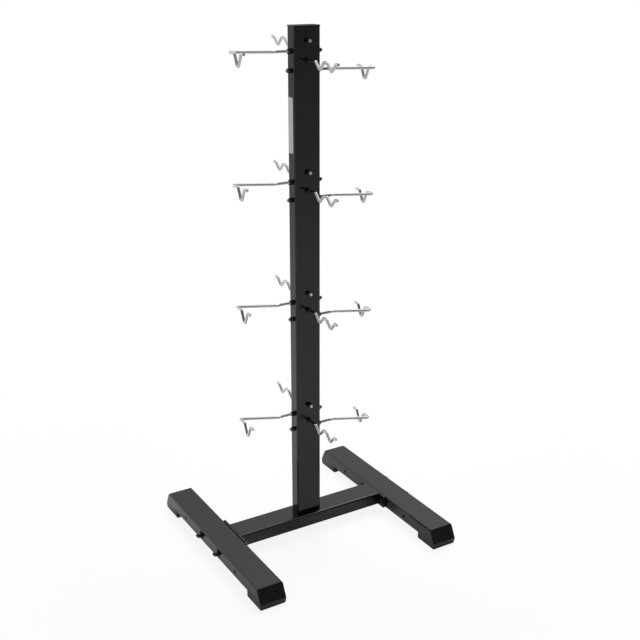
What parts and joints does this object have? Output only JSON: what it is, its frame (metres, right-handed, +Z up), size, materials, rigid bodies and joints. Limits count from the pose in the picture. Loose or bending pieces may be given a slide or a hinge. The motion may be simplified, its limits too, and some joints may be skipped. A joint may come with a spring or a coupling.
{
  "type": "cable attachment rack",
  "caption": "Free-standing rack: black steel post on an H-shaped base, with tiers of bent wire hooks whose notches hold cable machine attachments.",
  "frame": {"origin": "on the floor under the middle of the post", "axes": "+X along the crossbar towards the right rail, +Y from the front to the back along the rails, +Z up"},
  "size_m": [0.6922, 0.646, 1.4999],
  "materials": {
    "black_paint": "semi-gloss black powder coat",
    "black_plastic": "black moulded plastic, satin",
    "black_steel": "black oxide steel, satin",
    "chrome": "polished chrome wire"
  },
  "bodies": {
    "root": {"upright_post": "black_paint", "crossbar": "black_paint", "left_flange": "black_paint", "right_flange": "black_paint", "left_rail": "black_paint", "right_rail": "black_paint", "post_top_cap": "black_plastic", "front_left_foot": "black_plastic", "front_left_bolt": "black_steel", "front_left_washer": "black_steel", "front_left_nut": "black_steel", "front_right_foot": "black_plastic", "front_right_bolt": "black_steel", "front_right_washer": "black_steel", "front_right_nut": "black_steel", "back_left_foot": "black_plastic", "back_left_bolt": "black_steel", "back_left_washer": "black_steel", "back_left_nut": "black_steel", "back_right_foot": "black_plastic", "back_right_bolt": "black_steel", "back_right_washer": "black_steel", "back_right_nut": "black_steel", "front_hook_1": "chrome", "front_hook_nut_1": "black_steel", "front_hook_2": "chrome", "front_hook_nut_2": "black_steel", "front_hook_3": "chrome", "front_hook_nut_3": "black_steel", "front_hook_4": "chrome", "front_hook_nut_4": "black_steel", "back_hook_1": "chrome", "back_hook_nut_1": "black_steel", "back_hook_2": "chrome", "back_hook_nut_2": "black_steel", "back_hook_3": "chrome", "back_hook_nut_3": "black_steel", "back_hook_4": "chrome", "back_hook_nut_4": "black_steel", "left_hook_1": "chrome", "left_hook_nut_1": "black_steel", "left_hook_2": "chrome", "left_hook_nut_2": "black_steel", "left_hook_3": "chrome", "left_hook_nut_3": "black_steel", "left_hook_4": "chrome", "left_hook_nut_4": "black_steel", "right_hook_1": "chrome", "right_hook_nut_1": "black_steel", "right_hook_2": "chrome", "right_hook_nut_2": "black_steel", "right_hook_3": "chrome", "right_hook_nut_3": "black_steel", "right_hook_4": "chrome", "right_hook_nut_4": "black_steel"}
  },
  "joints": []
}
